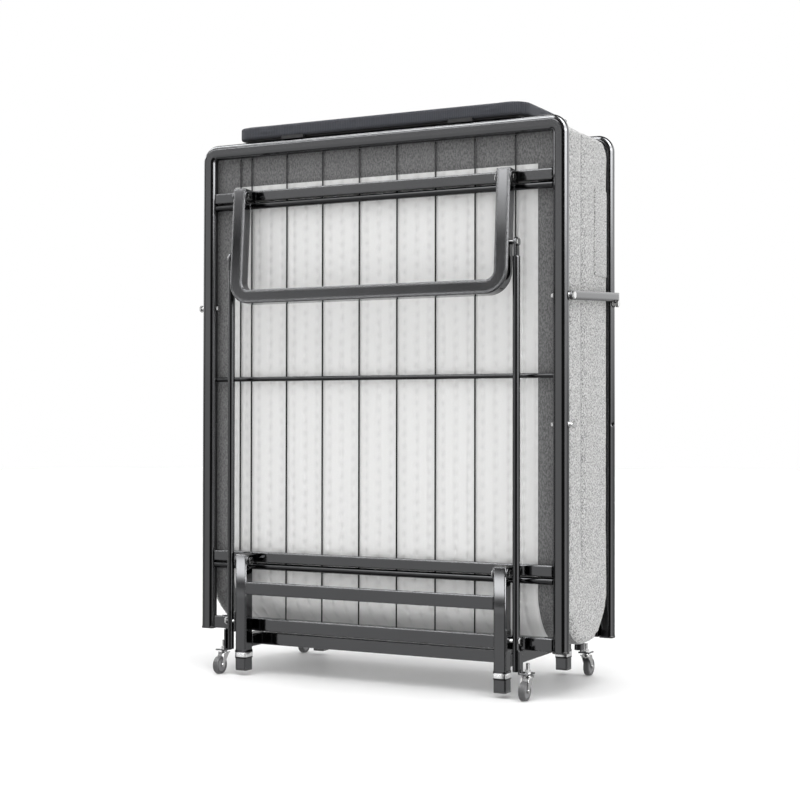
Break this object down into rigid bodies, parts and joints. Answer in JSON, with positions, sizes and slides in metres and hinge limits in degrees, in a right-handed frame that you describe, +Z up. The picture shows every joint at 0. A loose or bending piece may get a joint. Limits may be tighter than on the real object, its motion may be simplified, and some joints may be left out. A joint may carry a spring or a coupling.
{
  "type": "folding cot",
  "caption": "Rollaway folding bed, folded upright round its mattress, with swivel casters, swing-down end legs, a padded head panel and a side latch.",
  "frame": {"origin": "on the floor under the middle of the folded cot, at the bottom centre of its box", "axes": "+X to the latch side, +Y from the head deck to the foot deck, +Z up; the folded cot stands on its casters"},
  "size_m": [0.822, 0.363, 1.098],
  "materials": {
    "black_chrome": "gloss",
    "bright_zinc": "polished",
    "black_plastic": "satin",
    "grey_tyre": "matte",
    "pale_hub": "satin",
    "mattress_fabric": "matte",
    "charcoal_fabric": "matte"
  },
  "bodies": {
    "base": {"head_centre_leg_left": "black_chrome", "head_centre_leg_right": "black_chrome", "foot_centre_leg_left": "black_chrome", "foot_centre_leg_right": "black_chrome", "leg_tie_bars": "black_chrome", "base_side_tubes": "black_chrome", "base_cross_tubes": "black_chrome", "centre_foot_caps": "black_plastic", "low_link_bolts": "bright_zinc"},
    "head_deck": {"head_frame_hoop": "black_chrome", "head_end_bar": "black_chrome", "head_crossbars": "black_chrome", "head_cross_rods": "black_chrome", "head_deck_wires": "black_chrome", "head_pivot_brackets": "black_chrome", "head_pivot_bolts": "bright_zinc", "head_mattress": "mattress_fabric", "head_mattress_fold": "mattress_fabric", "head_rail_bolts": "bright_zinc", "head_panel": "charcoal_fabric", "head_panel_feet": "black_chrome"},
    "head_leg": {"head_end_leg": "black_chrome", "head_high_link_bolts": "bright_zinc"},
    "head_links": {"head_link_rod_left": "black_chrome", "head_link_rod_right": "black_chrome", "head_caster_brackets": "black_chrome", "head_caster_stems": "bright_zinc"},
    "head_left_caster": {"head_left_caster_fork": "bright_zinc", "head_left_caster_axle": "bright_zinc"},
    "head_left_wheel": {"head_left_caster_tyre": "grey_tyre", "head_left_caster_hub": "pale_hub"},
    "head_right_caster": {"head_right_caster_fork": "bright_zinc", "head_right_caster_axle": "bright_zinc"},
    "head_right_wheel": {"head_right_caster_tyre": "grey_tyre", "head_right_caster_hub": "pale_hub"},
    "foot_deck": {"foot_frame_hoop": "black_chrome", "foot_end_bar": "black_chrome", "foot_crossbars": "black_chrome", "foot_cross_rods": "black_chrome", "foot_deck_wires": "black_chrome", "foot_pivot_brackets": "black_chrome", "foot_pivot_bolts": "bright_zinc", "foot_mattress": "mattress_fabric", "foot_mattress_fold": "mattress_fabric", "foot_rail_bolts": "bright_zinc"},
    "foot_leg": {"foot_end_leg": "black_chrome", "foot_high_link_bolts": "bright_zinc"},
    "foot_links": {"foot_link_rod_left": "black_chrome", "foot_link_rod_right": "black_chrome", "foot_caster_brackets": "black_chrome", "foot_caster_stems": "bright_zinc"},
    "foot_left_caster": {"foot_left_caster_fork": "bright_zinc", "foot_left_caster_axle": "bright_zinc"},
    "foot_left_wheel": {"foot_left_caster_tyre": "grey_tyre", "foot_left_caster_hub": "pale_hub"},
    "foot_right_caster": {"foot_right_caster_fork": "bright_zinc", "foot_right_caster_axle": "bright_zinc"},
    "foot_right_wheel": {"foot_right_caster_tyre": "grey_tyre", "foot_right_caster_hub": "pale_hub"},
    "latch": {"side_latch": "black_chrome"}
  },
  "joints": [
    {"name": "head_fold", "type": "hinge", "parent": "base", "child": "head_deck", "pos_m": [0, -0.1525, 0.227], "axis": [1, 0, 0], "range_deg": [0, 90], "deforming": ["head_mattress_fold"]},
    {"name": "head_leg_swing", "type": "hinge", "parent": "head_deck", "child": "head_leg", "pos_m": [0, -0.1525, 0.956], "axis": [1, 0, 0], "range_deg": [-90, 0]},
    {"name": "head_link_swing", "type": "hinge", "parent": "base", "child": "head_links", "pos_m": [0, -0.156, 0.106], "axis": [1, 0, 0], "range_deg": [0, 90]},
    {"name": "head_left_swivel", "type": "hinge", "parent": "head_links", "child": "head_left_caster", "pos_m": [-0.331, -0.149, 0.045], "axis": [0, 0, 1], "continuous": true},
    {"name": "head_left_wheel_spin", "type": "hinge", "parent": "head_left_caster", "child": "head_left_wheel", "pos_m": [-0.331, -0.164, 0.0175], "axis": [1, 0, 0], "continuous": true},
    {"name": "head_right_swivel", "type": "hinge", "parent": "head_links", "child": "head_right_caster", "pos_m": [0.331, -0.149, 0.045], "axis": [0, 0, 1], "continuous": true},
    {"name": "head_right_wheel_spin", "type": "hinge", "parent": "head_right_caster", "child": "head_right_wheel", "pos_m": [0.331, -0.164, 0.0175], "axis": [1, 0, 0], "continuous": true},
    {"name": "foot_fold", "type": "hinge", "parent": "base", "child": "foot_deck", "pos_m": [0, 0.1525, 0.227], "axis": [-1, 0, 0], "range_deg": [0, 90], "deforming": ["foot_mattress_fold"]},
    {"name": "foot_leg_swing", "type": "hinge", "parent": "foot_deck", "child": "foot_leg", "pos_m": [0, 0.1525, 0.956], "axis": [-1, 0, 0], "range_deg": [-90, 0]},
    {"name": "foot_link_swing", "type": "hinge", "parent": "base", "child": "foot_links", "pos_m": [0, 0.156, 0.106], "axis": [-1, 0, 0], "range_deg": [0, 90]},
    {"name": "foot_left_swivel", "type": "hinge", "parent": "foot_links", "child": "foot_left_caster", "pos_m": [-0.331, 0.149, 0.045], "axis": [0, 0, 1], "continuous": true},
    {"name": "foot_left_wheel_spin", "type": "hinge", "parent": "foot_left_caster", "child": "foot_left_wheel", "pos_m": [-0.331, 0.164, 0.0175], "axis": [1, 0, 0], "continuous": true},
    {"name": "foot_right_swivel", "type": "hinge", "parent": "foot_links", "child": "foot_right_caster", "pos_m": [0.331, 0.149, 0.045], "axis": [0, 0, 1], "continuous": true},
    {"name": "foot_right_wheel_spin", "type": "hinge", "parent": "foot_right_caster", "child": "foot_right_wheel", "pos_m": [0.331, 0.164, 0.0175], "axis": [1, 0, 0], "continuous": true},
    {"name": "latch_swing", "type": "hinge", "parent": "head_deck", "child": "latch", "pos_m": [0.4047, -0.118, 0.737], "axis": [-1, 0, 0], "range_deg": [-60, 0]}
  ],
  "couplings": [
    {"joint": "foot_fold", "follows": "head_fold", "ratio": 1},
    {"joint": "head_leg_swing", "follows": "head_fold", "ratio": -1},
    {"joint": "head_link_swing", "follows": "head_fold", "ratio": 1},
    {"joint": "foot_leg_swing", "follows": "head_fold", "ratio": -1},
    {"joint": "foot_link_swing", "follows": "head_fold", "ratio": 1}
  ]
}
